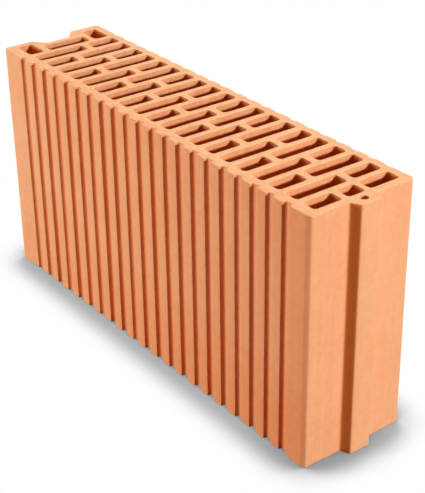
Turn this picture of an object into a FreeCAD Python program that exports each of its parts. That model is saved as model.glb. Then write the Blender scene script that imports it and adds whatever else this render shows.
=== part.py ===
"""Hollow clay block for thin partition walls, fired as one piece.

The block stands as it is laid in a wall: X runs along the wall, Y through the wall and
Z up, in millimetres. It is extruded, so one section in the XY plane makes the whole
block: an outline with a tongue at its +X end, a matching groove at its -X end and
keying grooves down both long faces, and rows of slots that leave thin webs.
The origin is the middle of the footprint, tongue included, on the bottom face.
"""
import FreeCAD, Part
import os
from math import hypot, tan

# Body, measured from shoulder to shoulder
BODY_LENGTH = 488.0
BODY_WIDTH = 115.0
BODY_HEIGHT = 249.0
CORNER_RADIUS = 4.0

# Outer shells and inner webs
FRONT_SHELL = 12.0
BACK_SHELL = 8.7
TONGUE_END_SHELL = 8.4
LUG_END_SHELL = 7.5
GROOVE_WEB = 6.0
ROW_WEB = 6.7
CROSS_WEB = 7.0
TONGUE_ROW_WEB = 6.0

# Slots run across the block, a short one and a long one in each row
SLOT_WIDTH = 15.6
SHORT_SLOT = 31.4
LUG_CELL = 16.2
TONGUE_CELL = 19.0
SLOT_CORNER_RADIUS = 3.2

# Tongue at the +X end, in the middle of the thickness, with the small hole behind its tip
TONGUE_REACH = 10.0
TONGUE_ROOT = 31.5
TONGUE_TIP = 22.5
TONGUE_HOLE = 8.0
TONGUE_TIP_SHELL = 6.0

# Room that the groove at the -X end leaves round the next block's tongue
GROOVE_DEPTH_CLEARANCE = 4.0
GROOVE_FLOOR_CLEARANCE = 2.0
GROOVE_MOUTH_CLEARANCE = 8.0
JOINT_CORNER_RADIUS = 2.5

# Keying grooves down both long faces, deep ones in front and slight ones at the back
KEY_PITCH = 21.1
KEY_MOUTH = 9.0
KEY_FLOOR = 7.6
FRONT_KEY_DEPTH = 4.0
BACK_KEY_DEPTH = 1.2
RIB_EDGE_RADIUS = 1.0
TONGUE_END_MARGIN = 24.5
GROOVE_END_MARGIN = 32.5

# Places that follow along X
TIP_X = (BODY_LENGTH + TONGUE_REACH) / 2
SHOULDER_X = TIP_X - TONGUE_REACH
LUG_X = SHOULDER_X - BODY_LENGTH
GROOVE_DEPTH = TONGUE_REACH + GROOVE_DEPTH_CLEARANCE
GROOVE_X = LUG_X + GROOVE_DEPTH

# Places that follow along Y
FRONT_Y = -BODY_WIDTH / 2
BACK_Y = BODY_WIDTH / 2
SLOT_FRONT = FRONT_Y + FRONT_SHELL
SLOT_BACK = BACK_Y - BACK_SHELL
GROOVE_FLOOR = TONGUE_TIP + 2 * GROOVE_FLOOR_CLEARANCE
GROOVE_MOUTH = TONGUE_ROOT + 2 * GROOVE_MOUTH_CLEARANCE

# Rows of slots fill the length between the end groove and the tongue end
ROWS_START = GROOVE_X + GROOVE_WEB
ROWS_END = SHOULDER_X - TONGUE_END_SHELL
ROW_COUNT = round((ROWS_END - ROWS_START + ROW_WEB) / (SLOT_WIDTH + ROW_WEB))
ROW_PITCH = (ROWS_END - ROWS_START - SLOT_WIDTH) / (ROW_COUNT - 1)

# Keying grooves share the length between the two plain margins
KEYS_START = LUG_X + GROOVE_END_MARGIN
KEYS_END = SHOULDER_X - TONGUE_END_MARGIN
KEY_COUNT = round((KEYS_END - KEYS_START - KEY_MOUTH) / KEY_PITCH) + 1
KEY_STEP = (KEYS_END - KEYS_START - KEY_MOUTH) / (KEY_COUNT - 1)


def rounded_wire(corners):
    """Closed wire round a list of corners (x, y, radius).

    Each corner is cut back along both of its sides by radius / tan(half the angle
    between them), and a tangent arc of that radius joins the two cuts. A corner of
    radius 0 stays sharp.
    """
    runs = []
    for place, (x, y, radius) in enumerate(corners):
        before = corners[place - 1]
        after = corners[(place + 1) % len(corners)]
        corner = FreeCAD.Vector(x, y, 0)
        back = (FreeCAD.Vector(before[0], before[1], 0) - corner).normalize()
        ahead = (FreeCAD.Vector(after[0], after[1], 0) - corner).normalize()
        cut = radius / tan(back.getAngle(ahead) / 2)
        inward = (back + ahead).normalize()
        middle = corner + inward * (hypot(radius, cut) - radius)
        runs.append((corner + back * cut, middle, corner + ahead * cut))
    edges = []
    for place, (start, middle, end) in enumerate(runs):
        if corners[place][2] > 0:
            edges.append(Part.Arc(start, middle, end).toShape())
        next_start = runs[(place + 1) % len(runs)][0]
        edges.append(Part.LineSegment(end, next_start).toShape())
    return Part.Wire(edges)


def key_groove_corners(groove, face_y, floor_y):
    """Corners of one keying groove in the order of rising X, between the plane of the
    face and the plane of the groove's floor. Its two mouth corners, which are the edges
    of the ribs beside it, are rounded, and its floor corners are sharp."""
    middle = KEYS_START + KEY_MOUTH / 2 + groove * KEY_STEP
    return [
        (middle - KEY_MOUTH / 2, face_y, RIB_EDGE_RADIUS),
        (middle - KEY_FLOOR / 2, floor_y, 0.0),
        (middle + KEY_FLOOR / 2, floor_y, 0.0),
        (middle + KEY_MOUTH / 2, face_y, RIB_EDGE_RADIUS),
    ]


def long_face_corners(face_y, floor_y):
    """All keying grooves of one long face in the order of rising X."""
    corners = []
    for groove in range(KEY_COUNT):
        corners += key_groove_corners(groove, face_y, floor_y)
    return corners


def joint_corners(shoulder_x, tip_x, root, tip):
    """The tongue, or the groove that takes it: two flanks that close from root to tip."""
    return [
        (shoulder_x, -root / 2, JOINT_CORNER_RADIUS),
        (tip_x, -tip / 2, JOINT_CORNER_RADIUS),
        (tip_x, tip / 2, JOINT_CORNER_RADIUS),
        (shoulder_x, root / 2, JOINT_CORNER_RADIUS),
    ]


def outline():
    """Outer wire of the section, counter-clockwise from the front corner at -X."""
    tongue = joint_corners(SHOULDER_X, TIP_X, TONGUE_ROOT, TONGUE_TIP)
    groove = joint_corners(LUG_X, GROOVE_X, GROOVE_MOUTH, GROOVE_FLOOR)
    corners = [(LUG_X, FRONT_Y, CORNER_RADIUS)]
    corners += long_face_corners(FRONT_Y, FRONT_Y + FRONT_KEY_DEPTH)
    corners += [(SHOULDER_X, FRONT_Y, CORNER_RADIUS)]
    corners += tongue
    corners += [(SHOULDER_X, BACK_Y, CORNER_RADIUS)]
    corners += reversed(long_face_corners(BACK_Y, BACK_Y - BACK_KEY_DEPTH))
    corners += [(LUG_X, BACK_Y, CORNER_RADIUS)]
    corners += reversed(groove)
    return rounded_wire(corners)


def slot(start_x, end_x, start_y, end_y):
    """Wire of one slot or cell with rounded corners."""
    return rounded_wire([
        (start_x, start_y, SLOT_CORNER_RADIUS),
        (end_x, start_y, SLOT_CORNER_RADIUS),
        (end_x, end_y, SLOT_CORNER_RADIUS),
        (start_x, end_y, SLOT_CORNER_RADIUS),
    ])


def groove_end_row():
    """First row: a deep cell in each lug and one slot behind the end groove."""
    end_x = ROWS_START + SLOT_WIDTH
    cell_x = LUG_X + LUG_END_SHELL
    front_cell_end = SLOT_FRONT + LUG_CELL
    back_cell_start = SLOT_BACK - LUG_CELL
    return [
        slot(cell_x, end_x, SLOT_FRONT, front_cell_end),
        slot(ROWS_START, end_x, front_cell_end + CROSS_WEB, back_cell_start - CROSS_WEB),
        slot(cell_x, end_x, back_cell_start, SLOT_BACK),
    ]


def tongue_end_row():
    """Last row: a cell right behind the tongue between two slots."""
    end_x = ROWS_END
    start_x = ROWS_END - SLOT_WIDTH
    cell_start = -TONGUE_CELL / 2
    cell_end = TONGUE_CELL / 2
    return [
        slot(start_x, end_x, SLOT_FRONT, cell_start - TONGUE_ROW_WEB),
        slot(start_x, end_x, cell_start, cell_end),
        slot(start_x, end_x, cell_end + TONGUE_ROW_WEB, SLOT_BACK),
    ]


def bond_row(row):
    """A row between the two ends: the short slot changes sides from row to row, so that
    the cross webs are staggered like the joints of a wall."""
    start_x = ROWS_START + row * ROW_PITCH
    end_x = start_x + SLOT_WIDTH
    rows_from_tongue = ROW_COUNT - 1 - row
    if rows_from_tongue % 2:
        web_start = SLOT_BACK - SHORT_SLOT - CROSS_WEB
    else:
        web_start = SLOT_FRONT + SHORT_SLOT
    return [
        slot(start_x, end_x, SLOT_FRONT, web_start),
        slot(start_x, end_x, web_start + CROSS_WEB, SLOT_BACK),
    ]


def tongue_hole():
    """Round hole that keeps the clay in the tongue thin."""
    centre_x = TIP_X - TONGUE_TIP_SHELL - TONGUE_HOLE / 2
    circle = Part.makeCircle(TONGUE_HOLE / 2, FreeCAD.Vector(centre_x, 0, 0))
    return Part.Wire([circle])


def clay_block():
    """The whole block: the section with all its holes, drawn up to the height."""
    wires = [outline(), tongue_hole()]
    wires += groove_end_row()
    for row in range(1, ROW_COUNT - 1):
        wires += bond_row(row)
    wires += tongue_end_row()
    section = Part.makeFace(wires, "Part::FaceMakerBullseye")
    return section.extrude(FreeCAD.Vector(0, 0, BODY_HEIGHT))


os.makedirs("parts", exist_ok=True)
block = clay_block()
print("rows", ROW_COUNT, "pitch", round(ROW_PITCH, 3), "keys", KEY_COUNT, "step", round(KEY_STEP, 3))
print("solids", len(block.Solids), "valid", block.isValid(), "litres", round(block.Volume / 1e6, 4))
block.exportStep("parts/clay_block.step")
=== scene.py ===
# %% [markdown]
# # A fired hollow clay block
#
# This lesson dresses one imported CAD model, a tall hollow clay block for thin walls, so
# that it looks like a real fired one. The CAD model gives the box and the section. Here
# the same section is drawn again with the small unevenness of drawn, cut and fired
# clay, and gets its finishes, a floor, lamps and a camera.
#
# Everything is in metres, X along the wall, Y through the wall and Z up, as in the CAD.

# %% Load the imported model
import math

import bpy
import numpy as np
from mathutils import Matrix, Vector
from mathutils.geometry import delaunay_2d_cdt


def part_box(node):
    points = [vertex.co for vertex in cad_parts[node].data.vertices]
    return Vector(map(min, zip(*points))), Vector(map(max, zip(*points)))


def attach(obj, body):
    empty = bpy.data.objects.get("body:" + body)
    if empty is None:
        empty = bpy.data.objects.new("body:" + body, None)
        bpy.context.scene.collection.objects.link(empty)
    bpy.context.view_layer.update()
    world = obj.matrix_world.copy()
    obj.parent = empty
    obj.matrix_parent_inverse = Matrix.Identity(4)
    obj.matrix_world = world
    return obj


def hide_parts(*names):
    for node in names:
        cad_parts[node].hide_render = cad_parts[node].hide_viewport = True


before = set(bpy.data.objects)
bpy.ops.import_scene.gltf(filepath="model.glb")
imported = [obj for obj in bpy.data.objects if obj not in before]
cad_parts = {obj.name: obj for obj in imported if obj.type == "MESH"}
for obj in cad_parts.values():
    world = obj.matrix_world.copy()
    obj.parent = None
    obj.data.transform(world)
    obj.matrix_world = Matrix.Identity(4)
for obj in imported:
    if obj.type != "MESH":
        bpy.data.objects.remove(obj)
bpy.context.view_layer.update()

# %% [markdown]
# ## Sizes of the section
#
# The outer box is read from the CAD node, so the dressed block can't be larger than the
# solid. The sizes inside it are those of the die that the clay is pressed through: the
# shells, the webs between the slots, the tongue, the end groove and the keying grooves.
# They are written once here, in millimetres, and turned into metres. The places that
# follow from them, such as the shoulder beside the tongue, are worked out below them, so
# a size can be changed without hunting for the numbers that depend on it.
#
# All the unevenness comes from one source of random numbers with a fixed start, rng, so
# every run makes the same block.

# %% Sizes
MM = 0.001
low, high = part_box("clay_block")
HEIGHT = high[2]
FRONT_Y, BACK_Y = low[1], high[1]
TIP_X, LUG_X = high[0], low[0]

CORNER_RADIUS = 4.0 * MM
FRONT_SHELL, BACK_SHELL = 12.0 * MM, 8.7 * MM
TONGUE_END_SHELL, LUG_END_SHELL = 8.4 * MM, 7.5 * MM
GROOVE_WEB, CROSS_WEB, TONGUE_ROW_WEB = 6.0 * MM, 7.0 * MM, 6.0 * MM
SLOT_WIDTH, SHORT_SLOT = 15.6 * MM, 31.4 * MM
LUG_CELL, TONGUE_CELL = 16.2 * MM, 19.0 * MM
SLOT_RADIUS = 3.2 * MM
TONGUE_REACH, TONGUE_ROOT, TONGUE_TIP = 10.0 * MM, 31.5 * MM, 22.5 * MM
TONGUE_HOLE, TONGUE_TIP_SHELL = 8.0 * MM, 6.0 * MM
GROOVE_DEPTH, GROOVE_FLOOR, GROOVE_MOUTH = 14.0 * MM, 26.5 * MM, 47.5 * MM
JOINT_RADIUS = 2.5 * MM
KEY_COUNT, KEY_MOUTH, KEY_FLOOR = 21, 9.0 * MM, 7.6 * MM
KEY_SHRINK, KEY_CENTRE = 0.992, 10 * MM
FRONT_KEY_DEPTH, BACK_KEY_DEPTH = 4.0 * MM, 1.2 * MM
KEY_LIP_RADIUS, KEY_FLOOR_RADIUS, BACK_KEY_RADIUS = 1.0 * MM, 2.8 * MM, 0.8 * MM
TONGUE_END_MARGIN, GROOVE_END_MARGIN = 24.5 * MM, 32.5 * MM
ROW_COUNT = 21

SHOULDER_X = TIP_X - TONGUE_REACH
GROOVE_X = LUG_X + GROOVE_DEPTH
SLOT_FRONT, SLOT_BACK = FRONT_Y + FRONT_SHELL, BACK_Y - BACK_SHELL
ROWS_START, ROWS_END = GROOVE_X + GROOVE_WEB, SHOULDER_X - TONGUE_END_SHELL
ROW_PITCH = (ROWS_END - ROWS_START - SLOT_WIDTH) / (ROW_COUNT - 1)
KEYS_START, KEYS_END = LUG_X + GROOVE_END_MARGIN, SHOULDER_X - TONGUE_END_MARGIN
KEY_STEP = (KEYS_END - KEYS_START - KEY_MOUTH) / (KEY_COUNT - 1)
rng = np.random.default_rng(7)
print("row pitch", round(ROW_PITCH / MM, 2), "mm, key groove step", round(KEY_STEP / MM, 2), "mm")

# %% [markdown]
# ## Lines with rounded corners
#
# A die has no perfectly sharp inner corners, because clay tears there. Blender's Bevel
# modifier could round the finished block, but on a mesh with hundreds of corners it is
# slow and leaves odd faces. So the corners are rounded in the flat section, before it
# becomes a solid: a few corners go in, and a dense line of points comes out.
#
# All the corners of a line are worked on at once. Where one corner needs three points and
# the next one seven, the counts are unrolled into one long row first, which numpy can
# then treat as a plain array.

# %% Groups and directions
def runs(counts):
    """Members of consecutive groups: the group each belongs to and its place in that
    group, counted from 0."""
    group = np.repeat(np.arange(len(counts)), counts)
    first = np.repeat(np.cumsum(counts) - counts, counts)
    return group, np.arange(len(group)) - first


def unit(vectors):
    """Each vector divided by its own length."""
    return vectors / np.linalg.norm(vectors, axis=-1, keepdims=True)


print("groups of 2 and 3 members:", *runs(np.array([2, 3])))


# %% Rounded corners
def rounded(corners, radius, count):
    """Closed line whose corners are arcs. An arc touches both sides of its corner at
    radius / tan(half the corner's angle). Its centre is on the bisector at radius /
    sin(half), and its count points turn evenly from one touching point to the other."""
    back = unit(np.roll(corners, 1, axis=0) - corners)
    ahead = unit(np.roll(corners, -1, axis=0) - corners)
    half = np.arccos(np.clip((back * ahead).sum(axis=1), -1, 1)) / 2
    reach = (radius / np.tan(half))[:, None]
    centre = corners + unit(back + ahead) * (radius / np.sin(half))[:, None]
    start, end = corners + back * reach - centre, corners + ahead * reach - centre
    group, place = runs(count)
    share = place / np.maximum(count - 1, 1)[group]
    turn = (math.pi - 2 * half)[group]
    first, last = np.sin((1 - share) * turn), np.sin(share * turn)
    arms = first[:, None] * start[group] + last[:, None] * end[group]
    return centre[group] + arms / np.sin(turn)[:, None]


square = np.array([(0, 0), (1, 0), (1, 1), (0, 1)])
print("a rounded square has", len(rounded(square, np.full(4, 0.2), np.full(4, 5))), "points")


# %% Divided sides
def divided(line, step):
    """Closed line whose sides are cut into equal parts no longer than step."""
    side = np.roll(line, -1, axis=0) - line
    parts = np.ceil(np.linalg.norm(side, axis=1) / step - 1e-6).astype(int).clip(1)
    group, place = runs(parts)
    return line[group] + side[group] * (place / parts[group])[:, None]


print("a square with sides cut into halves has", len(divided(square, 0.5)), "points")

# %% [markdown]
# ## The outline
#
# Seen from above, the outline runs anticlockwise from the front corner at -X: along the
# front with its keying grooves, round the tongue at +X, back along the other long face,
# and round the groove at -X. The keying grooves all come from one profile of four
# corners. It is repeated by adding it to a whole array of groove middles at once.
#
# A drawn block is never perfectly regular. Each groove is a fraction of a millimetre
# wider or narrower than the next, because the die wears unevenly, and the whole row has
# closed up by a little under one percent, because clay shrinks as it dries. The long
# corner at the front of the tongue end isn't a clean quarter round either. It is soft and
# a little flat, so it is drawn with three corners of its own, each with its own radius.

# %% The keying grooves
UNEVEN = 0.22 * MM


def key_corners(face_y, floor_y, uneven):
    """Corners of the keying grooves of one long face, in rising X: groove middles, drawn
    towards KEY_CENTRE by KEY_SHRINK, plus half the mouth or floor width to each side, on
    the face or on the groove's floor."""
    middle = KEYS_START + KEY_MOUTH / 2 + np.arange(KEY_COUNT) * KEY_STEP
    middle = KEY_CENTRE + (middle - KEY_CENTRE) * KEY_SHRINK
    across = np.array([-KEY_MOUTH, -KEY_FLOOR, KEY_FLOOR, KEY_MOUTH]) / 2
    x = middle[:, None] + across + rng.normal(0, uneven, (KEY_COUNT, 2))[:, [0, 0, 1, 1]]
    deeper = rng.normal(0, uneven, (KEY_COUNT, 1)) * np.array([0, 1, 1, 0])
    y = np.array([face_y, floor_y, floor_y, face_y]) + deeper
    return np.column_stack([x.ravel(), y.ravel()])


front_keys = key_corners(FRONT_Y, FRONT_Y + FRONT_KEY_DEPTH, UNEVEN)
back_keys = key_corners(BACK_Y, BACK_Y - BACK_KEY_DEPTH, UNEVEN / 2)
front_radius = np.tile([KEY_LIP_RADIUS, KEY_FLOOR_RADIUS, KEY_FLOOR_RADIUS, KEY_LIP_RADIUS], KEY_COUNT)
print(KEY_COUNT, "grooves on each long face, the first one at", round(front_keys[0, 0] / MM, 1), "mm")


# %% The outline
def joint_corners(shoulder_x, tip_x, root, tip):
    """Four corners of the tongue or of the groove that takes it, in rising Y."""
    y = np.array([-root, -tip, tip, root]) / 2
    return np.column_stack([[shoulder_x, tip_x, tip_x, shoulder_x], y])


SOFT_CORNER = np.array([(-5.4, 0), (-2.6, 0.8), (0, 1.9)]) * MM
SOFT_CORNER_RADII = np.array([2.5, 6, 1.6]) * MM
pieces_of_line = [
    ([(LUG_X, FRONT_Y)], [CORNER_RADIUS], [7]),
    (front_keys, front_radius, [3, 7, 7, 3] * KEY_COUNT),
    (np.array([SHOULDER_X, FRONT_Y]) + SOFT_CORNER, SOFT_CORNER_RADII, [4, 3, 6]),
    (joint_corners(SHOULDER_X, TIP_X, TONGUE_ROOT, TONGUE_TIP), [JOINT_RADIUS] * 4, [5] * 4),
    ([(SHOULDER_X, BACK_Y)], [CORNER_RADIUS], [7]),
    (back_keys[::-1], [BACK_KEY_RADIUS] * len(back_keys), [3] * len(back_keys)),
    ([(LUG_X, BACK_Y)], [CORNER_RADIUS], [7]),
    (joint_corners(LUG_X, GROOVE_X, GROOVE_MOUTH, GROOVE_FLOOR)[::-1], [JOINT_RADIUS] * 4, [5] * 4),
]
corners, radius, count = (np.concatenate(part) for part in zip(*pieces_of_line))
OUTER_STEP = 3.2 * MM
outline = divided(rounded(corners, radius, count), OUTER_STEP)
print("outline of", len(outline), "points")

# %% [markdown]
# ## The slots
#
# Every slot is a rectangle with rounded corners, given by its lowest and highest corner.
# All the slots are laid out as one array of such pairs. The rows between the ends have a
# short and a long slot, and the short one changes sides from row to row, so that the
# webs across stand staggered, like the joints of a wall.
#
# The steel cores that shape the slots in the die hang on thin bridges and are pushed
# about by the clay. In this block the rows slant more and more towards the grooved end,
# and each slot also has its own small shift, turn and bow.

# %% Lines round many slots
def slot_lines(low_corner, high_corner, per_side, per_corner):
    """Clockwise lines round many rounded rectangles at once, (slots, points, 2). All of
    them have the same number of points: per_corner on each arc and per_side between."""
    turn = np.linspace(0, math.pi / 2, per_corner)
    arc = np.column_stack([np.cos(turn), np.sin(turn)])
    quarter = np.array([[0, -1], [1, 0]])
    arcs = np.stack([arc, arc @ quarter.T, -arc, -arc @ quarter.T])
    middle, half = (low_corner + high_corner) / 2, (high_corner - low_corner) / 2
    signs = np.array([(1, 1), (-1, 1), (-1, -1), (1, -1)])
    centres = middle[:, None] + signs * (half - SLOT_RADIUS)[:, None]
    points = centres[:, :, None] + SLOT_RADIUS * arcs
    start, end = points[:, :, -1:], np.roll(points, -1, axis=1)[:, :, :1]
    share = (np.arange(1, per_side + 1) / (per_side + 1))[:, None]
    points = np.concatenate([points, start + (end - start) * share], axis=2)
    return points.reshape(len(points), -1, 2)[:, ::-1]


one_slot = slot_lines(np.array([[0, 0]]), np.array([[SLOT_WIDTH, SHORT_SLOT]]), per_side=6, per_corner=5)
print("a short slot is a line of", one_slot.shape[1], "points")

# %% Slots of the rows between the ends
row = np.arange(1, ROW_COUNT - 1)
row_x = ROWS_START + row * ROW_PITCH
short_at_back = (ROW_COUNT - 1 - row) % 2 == 1
web_y = np.where(short_at_back, SLOT_BACK - SHORT_SLOT - CROSS_WEB, SLOT_FRONT + SHORT_SLOT)
front_slots = np.column_stack([row_x, 0 * row_x + SLOT_FRONT, row_x + SLOT_WIDTH, web_y])
back_slots = np.column_stack([row_x, web_y + CROSS_WEB, row_x + SLOT_WIDTH, 0 * row_x + SLOT_BACK])
print("rows with a short and a long slot:", len(row))

# %% Slots and cells of the two ends
lug_end, lug_start = SLOT_FRONT + LUG_CELL, SLOT_BACK - LUG_CELL
first_end = ROWS_START + SLOT_WIDTH
last_start = ROWS_END - SLOT_WIDTH
cell_start, cell_end = -TONGUE_CELL / 2, TONGUE_CELL / 2
end_slots = np.array([
    (LUG_X + LUG_END_SHELL, SLOT_FRONT, first_end, lug_end),
    (ROWS_START, lug_end + CROSS_WEB, first_end, lug_start - CROSS_WEB),
    (LUG_X + LUG_END_SHELL, lug_start, first_end, SLOT_BACK),
    (last_start, SLOT_FRONT, ROWS_END, cell_start - TONGUE_ROW_WEB),
    (last_start, cell_start, ROWS_END, cell_end),
    (last_start, cell_end + TONGUE_ROW_WEB, ROWS_END, SLOT_BACK),
])

slots = np.concatenate([front_slots, back_slots, end_slots])
slot_points = slot_lines(slots[:, :2], slots[:, 2:], per_side=6, per_corner=5)
print(len(slots), "slots of", slot_points.shape[1], "points each")

# %% Slant of the rows
SLANT = 0.036


def slanted(points):
    """Rows that stand straight at the tongue end and slant by SLANT at the grooved end:
    X grows by SLANT x Y x the share of the way from the tongue end."""
    share = (ROWS_END - points[..., :1]) / (ROWS_END - ROWS_START)
    return points + np.concatenate([SLANT * share * points[..., 1:], 0 * share], axis=-1)


print("the rows slant by up to", round(math.degrees(SLANT), 1), "degrees")

# %% Unevenness of the slots
SLOT_SHIFT, SLOT_TURN, SLOT_BOW = 0.15 * MM, 0.006, 0.25 * MM


def unsettle(points):
    """Shifts, turns and bows each slot a little: a turn adds angle x the offset from the
    slot's middle, and a bow pushes the middle of the slot along X by bow x (1 - v^2),
    where v runs from -1 to 1 along the slot."""
    middle = points.mean(axis=1, keepdims=True)
    offset = points - middle
    half = np.abs(offset[..., 1]).max(axis=1)[:, None]
    shift = rng.normal(0, SLOT_SHIFT, (len(points), 1, 2))
    angle = rng.normal(0, SLOT_TURN, (len(points), 1))
    bow = rng.normal(0, SLOT_BOW, (len(points), 1))
    along = offset[..., 1] / half
    swing = np.stack([-angle * offset[..., 1] + bow * (1 - along**2), angle * offset[..., 0]], -1)
    return points + shift + swing


straight_points = slot_points
slot_points = unsettle(slanted(straight_points))
moved = np.linalg.norm(slot_points - straight_points, axis=-1)
print("slot points move by up to", round(moved.max() / MM, 2), "mm")

# %% The hole in the tongue
around = np.linspace(0, -2 * math.pi, 24, endpoint=False)
hole_middle = np.array([TIP_X - TONGUE_TIP_SHELL - TONGUE_HOLE / 2, 0.0])
hole = hole_middle + TONGUE_HOLE / 2 * np.column_stack([np.cos(around), np.sin(around)])
loops = [outline, *slot_points, hole]
print(len(loops), "closed lines in the section")

# %% [markdown]
# ## Walls
#
# The section is drawn straight up, so a wall is a grid: points round a line one way,
# heights the other way. The line's own points move a little with the height, because
# the clay column wavers as it leaves the die and warps in the kiln. On the outer faces
# that movement only goes inwards, so the block stays inside its CAD box.
#
# The wires that cut the block free drag the clay slightly, and handling wears the fired
# edges. Each wall therefore ends in a few rings that turn over a quarter round into the
# cut face. Its radius is uneven, with a few wider chips. This could be a Bevel modifier
# too, but that makes an even edge, which is just what a brick doesn't have.

# %% Wavering
def waves(place, height, amount, lengths, count=5):
    """Smooth random relief between -amount and amount: the mean of count cosine waves,
    cos(2 pi (place / a + height / b) + phase), with a and b near the two lengths."""
    a = lengths[0] * rng.uniform(0.6, 1.6, count) * rng.choice([-1, 1], count)
    b = lengths[1] * rng.uniform(0.6, 1.6, count) * rng.choice([-1, 1], count)
    phase = rng.uniform(0, 2 * math.pi, count)
    sum_of = np.cos(2 * math.pi * (place[..., None] / a + height[..., None] / b) + phase)
    return amount * sum_of.sum(axis=-1) / count


WALL_WAVES = (45 * MM, 160 * MM)
print("walls waver over about", *(round(length / MM) for length in WALL_WAVES), "mm along and up")


# %% Worn edges
def edge_radius(place, size):
    """Radius of the worn edge, from 0.7 to 1.3 times size. It adds the square of what uneven
    waves rise above a threshold, so most of the edge is even and a few bits are chipped."""
    rough = waves(place, place * 0, 1.0, (9 * MM, 1.0), 9)
    fine = waves(place, place * 0, 1.0, (4 * MM, 1.0), 9)
    chipped = np.clip(rough - 0.3, 0, None) ** 2 * 8
    return size * (0.9 + 0.25 * fine + chipped).clip(0.7, 1.3)


EDGE_TURN = np.linspace(0, math.pi / 2, 4)[:, None]
EDGE_INSET, EDGE_DROP = 1 - np.sin(EDGE_TURN), 1 - np.cos(EDGE_TURN)
print("a worn edge has", len(EDGE_TURN), "rings, set in by", EDGE_INSET.ravel().round(2), "radii")


# %% Directions into the clay
def inward_normals(line):
    """Unit normals of a closed line that point into the clay, which lies on the left. Each
    is the mean of itself and its neighbours, so that no line folds at a tight corner."""
    along = np.roll(line, -1, axis=0) - np.roll(line, 1, axis=0)
    normal = unit(np.column_stack([-along[:, 1], along[:, 0]]))
    return unit(2 * normal + np.roll(normal, 1, axis=0) + np.roll(normal, -1, axis=0))


print("from the first point of the outline, the clay lies towards", inward_normals(outline)[0].round(2))


# %% One wall
def wall(line, heights, waver, wear_radius, only_inwards):
    """Rings of one wall, (heights, points, 3), and the same rings' wear from 0 to 1. Each
    ring is the line moved into the clay by the waver at its height. The rings of the two
    worn edges are also moved in by radius x (1 - sin turn) and lie radius x (1 - cos turn)
    from the cut face."""
    normal = inward_normals(line)
    length = np.linalg.norm(np.roll(line, -1, axis=0) - line, axis=1)
    place = np.concatenate([[0], np.cumsum(length)[:-1]])
    low_edge, high_edge = edge_radius(place, wear_radius), edge_radius(place, wear_radius)
    between = np.repeat(heights[:, None], len(line), axis=1)
    z = np.concatenate([EDGE_DROP * low_edge, between, HEIGHT - (EDGE_DROP * high_edge)[::-1]])
    move = waves(np.broadcast_to(place, z.shape), z, waver, WALL_WAVES)
    if only_inwards:
        move = move + waver
    move += np.concatenate([EDGE_INSET * low_edge, 0 * between, (EDGE_INSET * high_edge)[::-1]])
    fades = 1 - EDGE_DROP + 0 * low_edge
    worn = np.concatenate([fades, 0 * between, fades[::-1]])
    ring_points = line + move[..., None] * normal
    return np.concatenate([ring_points, z[..., None]], axis=-1), worn


outer_levels = np.linspace(9 * MM, HEIGHT - 9 * MM, 24)
outer_levels = np.concatenate([[3 * MM], outer_levels, [HEIGHT - 3 * MM]])
print("rings of the outer wall at", *(outer_levels[:3] / MM).round(1), "... mm")

# %% All the walls
OUTER_WAVER, OUTER_WEAR = 0.16 * MM, 0.6 * MM
SLOT_WAVER, SLOT_WEAR = 0.12 * MM, 0.4 * MM
near_mouth = np.array([3, 9, 18]) * MM
slot_levels = np.concatenate([near_mouth, [HEIGHT / 2], HEIGHT - near_mouth[::-1]])
outer = [wall(outline, outer_levels, OUTER_WAVER, OUTER_WEAR, True)]
inner = [wall(line, slot_levels, SLOT_WAVER, SLOT_WEAR, False) for line in loops[1:]]
walls = outer + inner
print("wall points", sum(rings[..., 0].size for rings, wear in walls))

# %% [markdown]
# ## Cut faces
#
# The top and bottom are flat sections through the clay. A face with 45 holes is awkward
# for Boolean cutting. A constrained Delaunay triangulation does it in one step: it joins
# all points with triangles and keeps every outline edge. The holes come out filled, and
# a hole's own triangles are known by having all three corners on one slot line, turned
# the same way as that line.
#
# Loose points between the lines give the cut faces room for a slight relief, as the
# grinding that makes the blocks the same height leaves them nearly, but not quite, flat.

# %% Is a point in the clay?
def inside(points, lines):
    """Even-odd test: a point is in the clay if a ray along +X crosses the lines an odd
    number of times."""
    a = np.concatenate(lines)
    b = np.concatenate([np.roll(line, -1, axis=0) for line in lines])
    above_a, above_b = a[:, 1] > points[:, None, 1], b[:, 1] > points[:, None, 1]
    slope = (b[:, 0] - a[:, 0]) / np.where(b[:, 1] == a[:, 1], 1, b[:, 1] - a[:, 1])
    cross_x = a[:, 0] + (points[:, None, 1] - a[:, 1]) * slope
    return ((above_a != above_b) & (points[:, None, 0] < cross_x)).sum(axis=1) % 2 == 1


tongue_tip = np.array([[TIP_X - TONGUE_TIP_SHELL / 2, 0.0]])
print("clay just behind the tip of the tongue:", bool(inside(tongue_tip, loops)[0]))


# %% Loose points between the slots
FACE_STEP = 2.6 * MM
SHAKE = 0.3
CHUNKS = 40


def clear_of(points, lines, gap):
    """True where a point is at least gap away from every point of the lines. The points
    are taken in CHUNKS parts, which keeps the tables of distances small."""
    near = np.concatenate(lines)
    parts = np.array_split(points, CHUNKS)
    nearest = [((part[:, None] - near) ** 2).sum(axis=-1).min(axis=1) for part in parts]
    return np.concatenate(nearest) > gap**2


def loose_points(lines, step):
    """A grid of points in the clay, each shaken by up to SHAKE of a step and half a step
    from the lines or more."""
    x, y = np.meshgrid(np.arange(LUG_X, TIP_X, step), np.arange(FRONT_Y, BACK_Y, step))
    grid = np.column_stack([x.ravel(), y.ravel()])
    grid = grid + rng.uniform(-SHAKE, SHAKE, grid.shape) * step
    grid = grid[clear_of(grid, lines, step * 0.5)]
    return grid[inside(grid, lines)]


print("loose points stand about", round(FACE_STEP / MM, 1), "mm apart")


# %% One cut face
INSIDE_LINES = 1
SAME_POINT = 1e-7


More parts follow.
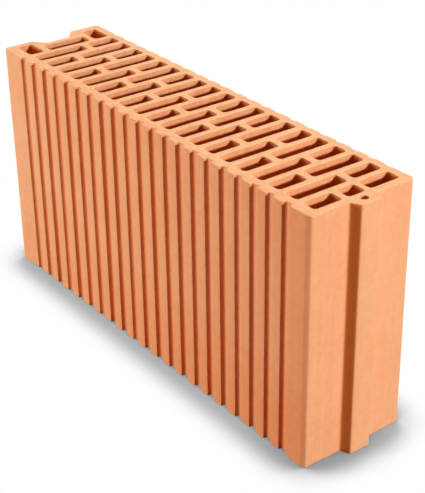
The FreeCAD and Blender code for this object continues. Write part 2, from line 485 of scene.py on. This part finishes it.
def cut_face(lines, step):
    """Triangulates a cut face. Gives its loose points, three point numbers for every
    triangle, counting the points of the lines first and the loose ones after them, and
    how many points the triangulation had to add. Points nearer than SAME_POINT are one."""
    loose = loose_points(lines, step)
    sizes = np.array([len(line) for line in lines])
    first = np.cumsum(sizes) - sizes
    group, place = runs(sizes)
    following = first[group] + (place + 1) % sizes[group]
    edges = np.column_stack([np.arange(len(group)), following])
    points = np.concatenate([*lines, loose])
    result = delaunay_2d_cdt([Vector(p) for p in points], edges.tolist(), [], INSIDE_LINES, SAME_POINT)
    made, triangles, origin = result[0], np.array(result[2]), result[3]
    number = np.array([source[0] for source in origin])
    triangles = number[triangles]
    line_of = np.concatenate([group, np.full(len(loose), -1)])[triangles]
    on_one_hole = (line_of[:, 0] > 0) & (line_of == line_of[:, :1]).all(axis=1)
    turned = np.argsort(triangles, axis=1)
    cyclic = (turned[:, 1] - turned[:, 0]) % 3 == 1
    return loose, triangles[~(on_one_hole & ~cyclic)], len(made) - len(points)


# %% Both cut faces
top_lines = [rings[-1, :, :2] for rings, wear in walls]
bottom_lines = [rings[0, :, :2] for rings, wear in walls]
top_loose, top_triangles, top_extra = cut_face(top_lines, FACE_STEP)
bottom_loose, bottom_triangles, bottom_extra = cut_face(bottom_lines, FACE_STEP)
print("cut faces of", len(top_triangles), "and", len(bottom_triangles), "triangles")
print("points that the triangulation had to add:", top_extra, bottom_extra)

# %% [markdown]
# ## One closed mesh
#
# The walls and the two cut faces share their points, so the block is one closed skin, as
# the real one is one piece of clay. Points are numbered wall by wall, and then the loose
# points of the top and of the bottom, and each face is a row of such numbers.

# %% Numbers of the points
def wall_quads(rings, first):
    """Four numbers for each face of a wall whose points are counted ring by ring."""
    levels_up, around_it = rings.shape[:2]
    ring, place = np.meshgrid(np.arange(levels_up - 1), np.arange(around_it), indexing="ij")
    here = first + ring * around_it + place
    beside = first + ring * around_it + (place + 1) % around_it
    return np.stack([here, beside, beside + around_it, here + around_it], -1).reshape(-1, 4)


def face_numbers(rings_list, firsts, ring, loose_first, loose_count):
    """Mesh numbers of a cut face's points: the chosen ring of every wall, then the loose
    points."""
    numbers = [
        first + (ring % len(rings)) * rings.shape[1] + np.arange(rings.shape[1])
        for rings, first in zip(rings_list, firsts)
    ]
    return np.concatenate([*numbers, loose_first + np.arange(loose_count)])


rings_list = [rings for rings, wear in walls]
firsts = np.cumsum([0] + [rings[..., 0].size for rings in rings_list])
top_first = firsts[-1]
bottom_first = top_first + len(top_loose)
print("points of the outer wall", firsts[1], "and of the slots' walls", top_first - firsts[1])

# %% Points of the mesh
FACE_RELIEF = 0.2 * MM


def relief(points, amount):
    """Depth of the cut face below its plane, from 0 to amount."""
    wave = waves(points[:, 0], points[:, 1], 0.5, (30 * MM, 22 * MM), 7)
    fine = waves(points[:, 0], points[:, 1], 0.5, (8 * MM, 6 * MM), 9)
    return amount * np.clip(0.5 + wave * 0.6 + fine * 0.4, 0, 1)


wall_points = np.concatenate([rings.reshape(-1, 3) for rings in rings_list])
top_points = np.column_stack([top_loose, HEIGHT - relief(top_loose, FACE_RELIEF)])
bottom_points = np.column_stack([bottom_loose, relief(bottom_loose, FACE_RELIEF)])
points = np.concatenate([wall_points, top_points, bottom_points])
wear = np.concatenate([w.ravel() for rings, w in walls] + [np.zeros(len(points) - top_first)])
print("points", len(points), "of them with a worn edge", int((wear > 0).sum()))

# %% Faces of the mesh
quads = np.concatenate([wall_quads(rings, first) for rings, first in zip(rings_list, firsts)])
outer_quads = len(wall_quads(rings_list[0], 0))
top = face_numbers(rings_list, firsts, -1, top_first, len(top_loose))[top_triangles]
bottom = face_numbers(rings_list, firsts, 0, bottom_first, len(bottom_loose))[bottom_triangles][:, ::-1]
triangles = np.concatenate([top, bottom])
print("quads", len(quads), "triangles", len(triangles))

# %% Check that the skin is closed and faces outwards
edge_pairs = np.concatenate([
    np.stack([quads, np.roll(quads, -1, axis=1)], -1).reshape(-1, 2),
    np.stack([triangles, np.roll(triangles, -1, axis=1)], -1).reshape(-1, 2)])
forward = edge_pairs[:, 0] * len(points) + edge_pairs[:, 1]
backward = edge_pairs[:, 1] * len(points) + edge_pairs[:, 0]
unmatched = len(np.setdiff1d(forward, backward)) + len(forward) - len(np.unique(forward))
all_triangles = np.concatenate([quads[:, [0, 1, 2]], quads[:, [0, 2, 3]], triangles])
a, b, c = (points[all_triangles[:, k]] for k in range(3))
litres = (a * np.cross(b, c)).sum() / 6 * 1000
print("edges without a partner", unmatched, "clay in litres", round(litres, 3))

# %% [markdown]
# ## Where shade is painted into the clay colour
#
# The clay colour is painted darker and redder where the block lies in shade, as painted
# shade: in the slots, more so further from the cut faces and at their back ends, in the
# keying grooves, and on the flank of the tongue in the nook beside it. The long faces are
# also painted a little darker and redder towards the tongue end, the foot and the front
# corner at the tongue end, and so is the end beside the tongue.
#
# This could be painted by hand on a picture, or left to noise. Instead it is worked out
# from the place of each point and stored in the mesh as two named values, because such a
# value follows the shape exactly and needs no unwrapping. Between the points Blender
# blends it, and the materials read it by its name.

# %% Painted shade on the outer faces
INSET = 0.8 * MM
SHADE_ALONG, SHADE_AT_FOOT, SHADE_AT_CORNER, SHADE_BESIDE_TONGUE = 0.7, 0.35, 0.15, 0.2


def ramp(value, start, end):
    """0 up to start, 1 from end on, and even growth between. The end may be the lower one."""
    return ((value - start) / (end - start)).clip(0, 1)


x, y, z = points.T
on_outside = np.arange(len(points)) < firsts[1]
along = (x - LUG_X) / (TIP_X - LUG_X)
between_ends = (x > LUG_X + INSET) & (x < SHOULDER_X - INSET)
on_long_face = ramp(np.abs(y), 50 * MM, 53 * MM) * between_ends
beside_tongue = (x > SHOULDER_X - INSET) & (y < -TONGUE_ROOT / 2)
# Painted shade: darker and redder towards the tongue end, the foot, the corner there and beside the
# tongue
painted_shade = SHADE_ALONG * along + SHADE_AT_FOOT * ramp(z, 100 * MM, 30 * MM)
painted_shade += SHADE_AT_CORNER * ramp(x, 205 * MM, 215 * MM)
painted_shade = (on_long_face * painted_shade + SHADE_BESIDE_TONGUE * beside_tongue) * on_outside
print("the deeper tone reaches", round(painted_shade.max(), 2))

# %% Painted red shade of the grooves, the tongue's flank and the slots
SHADE_IN_GROOVES, SHADE_ON_FLANK, SHADE_AT_SLOT_END = 0.32, 0.8, 0.3

inset = BACK_Y - np.abs(y)
in_grooves = (x > KEYS_START) & (x < KEYS_END) & (inset < 6 * MM)
groove_shade = ramp(inset, 0.8 * MM, 3.2 * MM) * in_grooves * ramp(along, 0.75, 0.5)
on_flank = (x > SHOULDER_X + 0.5 * MM) & (x < TIP_X - INSET)

depth = np.minimum(z, HEIGHT - z)
furthest_back = np.full(len(points), np.inf)
furthest_back[:top_first] = np.repeat([rings[..., 1].max() for rings in rings_list], np.diff(firsts))
at_slot_end = y > furthest_back - 2 * MM
slot_end_shade = SHADE_AT_SLOT_END + (1 - SHADE_AT_SLOT_END) * ramp(depth, 0, 4 * MM)
slot_shade = np.where(at_slot_end, slot_end_shade, ramp(depth, 3 * MM, 10 * MM)) * (depth > 0.5 * MM)
# Painted shade: a full red where shade falls in the grooves, on the tongue's flank and in the slots
deep = np.where(on_outside, SHADE_IN_GROOVES * groove_shade + SHADE_ON_FLANK * on_flank, slot_shade)
print("points with some of the full red", int((deep > 0).sum()))

# %% [markdown]
# ## From arrays to a Blender mesh
#
# A mesh could be filled face by face, or by an operator in edit mode. Both are slow at
# this size. foreach_set hands a whole array to Blender at once: the places of the points,
# the corners of all faces in one row, and where each face starts in that row.

# %% A mesh from arrays
def new_mesh(name, points, quads, triangles):
    """A mesh of quads and then triangles, filled from arrays: the corners of all faces in
    one row, and where each face starts in it."""
    mesh = bpy.data.meshes.new(name)
    corner_points = np.concatenate([quads.ravel(), triangles.ravel()])
    starts = np.concatenate([
        np.arange(len(quads)) * 4, len(quads) * 4 + np.arange(len(triangles)) * 3])
    mesh.vertices.add(len(points))
    mesh.vertices.foreach_set("co", points.astype(np.float32).ravel())
    mesh.loops.add(len(corner_points))
    mesh.loops.foreach_set("vertex_index", corner_points.astype(np.int32))
    mesh.polygons.add(len(starts))
    mesh.polygons.foreach_set("loop_start", starts.astype(np.int32))
    mesh.update(calc_edges=True)
    mesh.validate()
    return mesh


# %% The block's mesh and object
SHARP_ANGLE = math.radians(38)

block_mesh = new_mesh("hollow_block", points, quads, triangles)
block_mesh.polygons.foreach_set("use_smooth", np.ones(len(block_mesh.polygons), bool))
block_mesh.set_sharp_from_angle(angle=SHARP_ANGLE)
# Worn edges and the two painted shades, stored on the points by name
for name, values in {"wear": wear, "painted_shade": painted_shade, "deep": deep}.items():
    attribute = block_mesh.attributes.new(name, "FLOAT", "POINT")
    attribute.data.foreach_set("value", values.astype(np.float32))
block = bpy.data.objects.new("hollow_block", block_mesh)
bpy.context.scene.collection.objects.link(block)
print("faces", len(block_mesh.polygons), "triangles", len(quads) * 2 + len(triangles))

# %% [markdown]
# ## Finishes
#
# Unglazed fired clay scatters light widely and hardly shines. Three surfaces differ:
#
# - the drawn skin of the outer faces, which the die smooths and streaks upright;
# - the walls of the slots, which keep the same streaks and get a darker copy of the clay
#   colour with a redder painted shade, standing in for the dim light in there, which has
#   been thrown from clay to clay several times;
# - the cut faces, which show the paler inside of the clay with its grains and pores.
#
# All three are built from noise in the object's own coordinates. A picture would blur at
# close range and would have to be unwrapped over 45 holes, and noise does neither.

# %% Small helpers for node trees
class Tree:
    """Adds nodes to a material or world and links them by short calls."""

    def __init__(self, owner):
        """Starts with the owner's empty node tree."""
        owner.use_nodes = True
        self.tree = owner.node_tree
        self.tree.nodes.clear()

    def add(self, kind, inputs=None, **settings):
        """Adds a node of that kind and fills its settings and inputs."""
        node = self.tree.nodes.new(kind)
        for name, value in settings.items():
            setattr(node, name, value)
        for name, value in (inputs or {}).items():
            self.put(value, node.inputs[name])
        return node

    def put(self, value, socket):
        """Links another node's output to the socket, or writes a plain value into it."""
        if isinstance(value, bpy.types.NodeSocket):
            self.tree.links.new(value, socket)
        else:
            socket.default_value = value

    def math(self, operation, a, b=0.0):
        """One sum, such as ADD or MULTIPLY, of two values."""
        node = self.add("ShaderNodeMath", operation=operation)
        self.put(a, node.inputs[0])
        self.put(b, node.inputs[1])
        return node.outputs[0]

    def mix(self, share, a, b, blend="MIX"):
        """Colour a, and where the share is 1 colour b blended over it."""
        node = self.add("ShaderNodeMix", data_type="RGBA", blend_type=blend)
        self.put(share, node.inputs["Factor"])
        self.put(a, node.inputs["A"])
        self.put(b, node.inputs["B"])
        return node.outputs["Result"]

    def between(self, value, low, high, at_low=0.0, at_high=1.0, kind="LINEAR"):
        """Goes from at_low to at_high while the value goes from low to high."""
        node = self.add("ShaderNodeMapRange", {
            "Value": value, "From Min": low, "From Max": high, "To Min": at_low, "To Max": at_high},
            interpolation_type=kind)
        return node.outputs["Result"]

    def noise(self, where, scale, detail=3.0, roughness=0.55):
        """Noise at scale waves per metre, about 0.5 on the average. scale may differ along
        the three axes, so streaks are noise with a small scale along their length."""
        if isinstance(scale, tuple):
            where = self.add("ShaderNodeMapping", {"Vector": where, "Scale": scale}).outputs[0]
            scale = 1.0
        node = self.add("ShaderNodeTexNoise", {
            "Vector": where, "Scale": scale, "Detail": detail, "Roughness": roughness})
        return node.outputs["Fac"]


def colour(red, green, blue):
    """A linear colour from the 0 to 255 values of a colour chart: c / 255 is raised by the
    sRGB curve, ((c + 0.055) / 1.055) ^ 2.4."""
    value = np.array([red, green, blue]) / 255
    linear = np.where(value <= 0.04045, value / 12.92, ((value + 0.055) / 1.055) ** 2.4)
    return (*linear.tolist(), 1.0)


print("a middle grey is", round(colour(128, 128, 128)[0], 3), "in linear light")

# %% Clay colours
SKIN_LIGHT = colour(253, 185, 137)
SKIN_DEEP = colour(249, 173, 124)
# The slot walls' two colours are a darker copy of the skin's: painted shade
SHADED_HOLLOW_LIGHT = colour(237, 172, 125)
SHADED_HOLLOW_DEEP = colour(224, 152, 106)
CUT_LIGHT = colour(251, 194, 146)
CUT_DEEP = colour(245, 178, 128)
EDGE_PALE = colour(249, 198, 152)
SPECK_DARK = colour(186, 112, 74)

# These three are multiplied into a clay colour. The first is the painted shade of the outer
# faces, the second the red painted shade of the grooves, the tongue's flank and the slots,
# and the third darkens the grains.
PAINTED_SHADE_TINT = (0.985, 0.72, 0.57, 1)
RECESS_SHADE_RED = (0.98, 0.55, 0.16, 1)
GRAIN_SHADE = (0.95, 0.935, 0.92, 1)
print("light skin in linear light", [round(v, 3) for v in SKIN_LIGHT[:3]])

# %% [markdown]
# ### One recipe for the three finishes
#
# The finishes differ only in their colours and in the direction of their streaks, so one
# recipe makes all three. Each layer is a function of its own: first the clay's tone, then
# the painted shade of the two values stored in the mesh, the grains and iron specks, the
# pale worn edges, and last the fine bumps. The scales of the noise are waves per metre: 14
# makes clouds a hand wide, and 900 makes grains of a millimetre.

# %% Tone of the clay
CLOUDS, BLOTS, GRAINS = 14.0, 150.0, 900.0
CLOUD_SHARE, DRAWN_SHARE, BLOT_SHARE = 0.35, 0.3, 0.35


def stored(t, name):
    """The value of that name that the mesh stores at its points."""
    return t.add("ShaderNodeAttribute", attribute_name=name).outputs["Fac"]


def clay_tone(t, where, drawn, light, deep):
    """Clouds, streaks and blots together mix the light and the deep colour."""
    clouds = t.noise(where, CLOUDS, 4.0)
    blots = t.noise(where, BLOTS, 2.0)
    tone = t.math("MULTIPLY", clouds, CLOUD_SHARE)
    tone = t.math("ADD", tone, t.math("MULTIPLY", drawn, DRAWN_SHARE))
    tone = t.math("ADD", tone, t.math("MULTIPLY", blots, BLOT_SHARE))
    return t.mix(t.between(tone, 0.4, 0.6), light, deep)


def with_painted_shade(t, base, share, factor):
    """The base colour times the factor, where the share is 1: painted shade."""
    return t.mix(share, base, t.mix(1.0, base, factor, "MULTIPLY"))


print("clouds, blots and grains in waves per metre:", CLOUDS, BLOTS, GRAINS)


# %% Specks, worn edges and bumps
SPECKS, SPECK_PATCHES, EDGE_PATCHES = 330.0, 70.0, 260.0
BUMP_HEIGHT = 0.12 * MM


def iron_specks(t, where):
    """Share of dark iron: small dots in the middle of Voronoi cells, in some patches only."""
    cells = t.add("ShaderNodeTexVoronoi", {"Vector": where, "Scale": SPECKS}).outputs["Distance"]
    patches = t.between(t.noise(where, SPECK_PATCHES), 0.5, 0.62)
    return t.math("MULTIPLY", t.between(cells, 0.13, 0.05), patches)


def pale_edge(t, where):
    """Share of the pale clay that shows where an edge is worn."""
    patches = t.between(t.noise(where, EDGE_PATCHES), 0.3, 0.8)
    return t.math("MULTIPLY", stored(t, "wear"), patches)


def fine_bumps(t, drawn, grain, speck):
    """Streaks and grains raise the surface, and specks are small pits in it."""
    raised = t.math("ADD", t.math("MULTIPLY", drawn, 1.4), t.math("MULTIPLY", grain, 0.5))
    pitted = t.math("SUBTRACT", raised, t.math("MULTIPLY", speck, 0.8))
    bump = t.add("ShaderNodeBump", {"Strength": 0.3, "Distance": BUMP_HEIGHT, "Height": pitted})
    return bump.outputs["Normal"]


print("bumps of up to", round(BUMP_HEIGHT / MM, 2), "mm")


# %% The recipe
SHINE = 0.08
SPECK_STRENGTH = 0.45


def finish_material(name, light, deep, streaks):
    """Fired clay between the light and the deep colour, with streaks of the given scales."""
    material = bpy.data.materials.new(name)
    t = Tree(material)
    where = t.add("ShaderNodeTexCoord").outputs["Object"]
    drawn = t.noise(where, streaks, 4.0, 0.6)
    grain = t.noise(where, GRAINS, 2.0, 0.7)
    base = clay_tone(t, where, drawn, light, deep)
    # Painted shade: the two stored values darken and redden the clay colour where shade falls
    base = with_painted_shade(t, base, stored(t, "painted_shade"), PAINTED_SHADE_TINT)
    base = with_painted_shade(t, base, stored(t, "deep"), RECESS_SHADE_RED)
    shaded = t.mix(1.0, base, GRAIN_SHADE, "MULTIPLY")
    base = t.mix(t.between(grain, 0.3, 0.7), shaded, base)
    speck = iron_specks(t, where)
    base = t.mix(t.math("MULTIPLY", speck, SPECK_STRENGTH), base, SPECK_DARK)
    base = t.mix(pale_edge(t, where), base, EDGE_PALE)
    shader = t.add("ShaderNodeBsdfPrincipled", {
        "Base Color": base, "Roughness": t.between(grain, 0.0, 1.0, 0.82, 0.97),
        "Specular IOR Level": SHINE, "Normal": fine_bumps(t, drawn, grain, speck)})
    t.add("ShaderNodeOutputMaterial", {"Surface": shader.outputs["BSDF"]})
    return material


print("one recipe, with a shine of", SHINE)

# %% The three finishes
UPRIGHT = (420.0, 420.0, 5.0)
STROKES = (120.0, 420.0, 60.0)
SKIN, HOLLOW, CUT = 0, 1, 2

drawn_skin = finish_material("drawn_clay", SKIN_LIGHT, SKIN_DEEP, UPRIGHT)
# Painted shade: the slot walls get the darker copy of the clay colours
shaded_slot_wall = finish_material("shaded_slot_clay", SHADED_HOLLOW_LIGHT, SHADED_HOLLOW_DEEP, UPRIGHT)
cut_clay = finish_material("cut_clay", CUT_LIGHT, CUT_DEEP, STROKES)
for material in (drawn_skin, shaded_slot_wall, cut_clay):
    block_mesh.materials.append(material)
finish = np.concatenate([
    np.full(outer_quads, SKIN), np.full(len(quads) - outer_quads, HOLLOW),
    np.full(len(triangles), CUT)])
block_mesh.polygons.foreach_set("material_index", finish.astype(np.int32))
print("finishes", [material.name for material in block_mesh.materials])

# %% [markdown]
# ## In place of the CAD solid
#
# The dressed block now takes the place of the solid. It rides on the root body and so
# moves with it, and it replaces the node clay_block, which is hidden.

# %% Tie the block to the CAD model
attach(block, "root")
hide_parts("clay_block")
print(block.name, "stands for clay_block")

# %% [markdown]
# ## Floor and air
#
# The block stands on a plain white studio floor that runs out into white, with a soft
# grey contact shadow round its foot. The shadow is a flat dark grey close to the block and
# fades out smoothly within a few centimetres. It grows a little darker towards the front
# corner at the tongue end, and it is darkest in the nook beside the tongue.
#
# A lamp's own shadow would also reach far over the floor and tint it. So for the camera
# and for reflections, floor and air are simply white, and the floor is darkened by ambient
# occlusion, which asks how much of the space over a spot is free within a short reach.
# All other light meets a plain dark floor, which throws hardly any light up at the ribs.

# %% What the camera sees
WHITE = (1, 1, 1, 1)


def seen_directly(t):
    """1 for what the camera sees straight, mirrored or through something clear, 0 for all
    other light."""
    path = t.add("ShaderNodeLightPath").outputs
    mirrored = t.math("MAXIMUM", path["Is Glossy Ray"], path["Is Transmission Ray"])
    return t.math("MAXIMUM", path["Is Camera Ray"], mirrored)


print("the camera sees white", WHITE[:3])


# %% The contact shadow
CONTACT_REACH = 44 * MM
FREE_AT_FOOT = 0.58
DARKEST, DARKEST_AT_CORNER = 0.44, 0.31
CORNER_WAY, CORNER_FROM, CORNER_TO = (1.0, -0.8, 0.0), 0.2, 0.29
NOOK_FREE, NOOK_EDGE_FREE, NOOK_SHADE = 0.35, 0.52, 0.65


def contact_shadow(t):
    """Brightness of the floor: 1 where all the space over it is free, the darkest value
    where FREE_AT_FOOT or less of it is free, and times NOOK_SHADE deep in a nook. Towards
    the front corner at the tongue end, along CORNER_WAY, the darkest value is lower."""
    free = t.add("ShaderNodeAmbientOcclusion", {"Distance": CONTACT_REACH}, samples=16).outputs["AO"]
    where = t.add("ShaderNodeTexCoord").outputs["Object"]
    way = t.add("ShaderNodeVectorMath", {0: where, 1: CORNER_WAY}, operation="DOT_PRODUCT")
    darkest = t.between(way.outputs["Value"], CORNER_FROM, CORNER_TO, DARKEST, DARKEST_AT_CORNER)
    soft = t.between(free, FREE_AT_FOOT, 1.0, darkest, 1.0, "SMOOTHSTEP")
    nook = t.between(free, NOOK_FREE, NOOK_EDGE_FREE, NOOK_SHADE, 1.0)
    return t.math("MULTIPLY", soft, nook)


print("the shadow reaches", round(CONTACT_REACH / MM), "mm")

# %% Floor
FLOOR_SIZE = 8.0
FLOOR_GAP = 0.3 * MM
FLOOR_DARK = (0.03, 0.03, 0.03, 1)

half = FLOOR_SIZE / 2
floor_corners = [(-half, -half, 0), (half, -half, 0), (half, half, 0), (-half, half, 0)]
floor_mesh = bpy.data.meshes.new("floor")
floor_mesh.from_pydata(floor_corners, [], [(0, 1, 2, 3)])
floor = bpy.data.objects.new("floor", floor_mesh)
bpy.context.scene.collection.objects.link(floor)
floor.location.z = -FLOOR_GAP

floor_material = bpy.data.materials.new("studio_floor")
t = Tree(floor_material)
white = t.add("ShaderNodeEmission", {"Color": WHITE, "Strength": contact_shadow(t)})
plain = t.add("ShaderNodeBsdfDiffuse", {"Color": FLOOR_DARK})
both = t.add("ShaderNodeMixShader", {
    "Fac": seen_directly(t), 1: plain.outputs[0], 2: white.outputs[0]})
t.add("ShaderNodeOutputMaterial", {"Surface": both.outputs[0]})
floor_mesh.materials.append(floor_material)
print("floor of", FLOOR_SIZE, "m, just under the block")

# %% Air
AIR_LIGHT = 0.005

world = bpy.data.worlds.new("studio")
bpy.context.scene.world = world
t = Tree(world)
air = t.add("ShaderNodeBackground", {"Color": WHITE, "Strength": AIR_LIGHT})
backdrop = t.add("ShaderNodeBackground", {"Color": WHITE, "Strength": 1.0})
both = t.add("ShaderNodeMixShader", {
    "Fac": seen_directly(t), 1: air.outputs[0], 2: backdrop.outputs[0]})
t.add("ShaderNodeOutputWorld", {"Surface": both.outputs[0]})
print("the air lights the block by", AIR_LIGHT)

# %% [markdown]
# ## Lamps
#
# Three soft studio lamps light the block. One stands low on the right, beyond the tongue
# end, and rakes into the mouths of the slots. One stands at the left front and lights
# the ribs. One hangs above the back and lights the cut face.
#
# Lamps could be placed by hand and turned up until it looks right. Here each is given by
# the direction it shines from, how far off and how large it is, and how bright a white
# face turned to it becomes. So a lamp can be moved without a change of its brightness.

# %% Lamps
def lamp(name, direction, distance, size, level):
    """A square lamp in the given direction from the block's middle, turned towards it.
    Its power is level x pi^2 x distance^2 watts, so that a white face turned to it at
    the block has that level of brightness."""
    data = bpy.data.lights.new(name, "AREA")
    data.shape, data.size = "SQUARE", size
    data.energy = level * math.pi**2 * distance**2
    towards = Vector(direction).normalized()
    thing = bpy.data.objects.new(name, data)
    thing.location = Vector((0, 0, HEIGHT / 2)) + towards * distance
    thing.rotation_mode = "QUATERNION"
    thing.rotation_quaternion = towards.to_track_quat("Z", "Y")
    bpy.context.scene.collection.objects.link(thing)
    return thing


lamps = [
    lamp("right_lamp", (1.0, 0.275, 0.35), 3.6, 0.3, 0.95),
    lamp("front_lamp", (-0.38, -1.0, 0.14), 2.0, 0.8, 0.9),
    lamp("top_lamp", (-0.15, 0.5, 0.85), 2.2, 0.6, 0.78),
]
print("watts", {thing.name: round(thing.data.energy) for thing in lamps})

# %% [markdown]
# ## Camera
#
# The camera looks down at the block over its front corner at the tongue end. Where it
# stands follows from the direction it looks in, the point it looks at and the distance
# between them. It leans by a little under one degree. The lens is a long one for a
# sensor 36 mm wide, so the upright edges stay nearly parallel.

# %% Camera
AIM = Vector((0.01784, 0.01154, 0.10368))
DISTANCE = 1.29
LOOK = Vector((-0.70084, 0.52420, -0.48378)).normalized()
LEAN = math.radians(-0.824)
LENS, SENSOR = 95.620, 36.0

camera = bpy.data.objects.new("camera", bpy.data.cameras.new("camera"))
camera.data.lens = LENS
camera.data.sensor_width = SENSOR
level_right = LOOK.cross(Vector((0, 0, 1))).normalized()
level_up = level_right.cross(LOOK)
right = level_right * math.cos(LEAN) + level_up * math.sin(LEAN)
up = right.cross(LOOK)
turn = Matrix((right, up, -LOOK)).transposed()
camera.matrix_world = Matrix.Translation(AIM - LOOK * DISTANCE) @ turn.to_4x4()
bpy.context.scene.collection.objects.link(camera)
bpy.context.scene.camera = camera
bpy.context.scene.view_settings.view_transform = "Standard"
print("camera at", [round(v, 4) for v in camera.matrix_world.translation])
